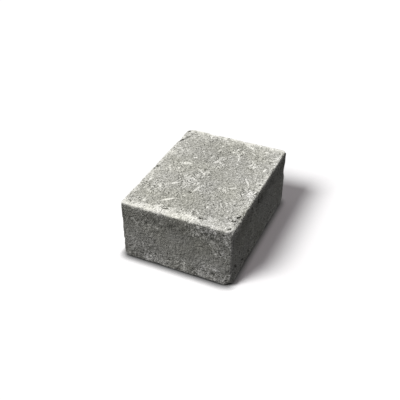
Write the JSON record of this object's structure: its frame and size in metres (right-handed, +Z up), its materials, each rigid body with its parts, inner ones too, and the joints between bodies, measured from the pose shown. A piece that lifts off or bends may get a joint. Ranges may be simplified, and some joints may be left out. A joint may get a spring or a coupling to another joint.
{
  "type": "concrete paving stone",
  "caption": "Rectangular tumbled concrete paving stone with worn round edges and small flakes knocked off its corners and edges.",
  "frame": {"origin": "middle of the flat bed face that the stone rests on", "axes": "+Z up through the wearing face, X across the width, Y along the length"},
  "size_m": [0.12, 0.16, 0.07],
  "materials": {
    "concrete": "rough tumbled dry concrete"
  },
  "bodies": {
    "root": {"paving_stone": "concrete"}
  },
  "joints": []
}
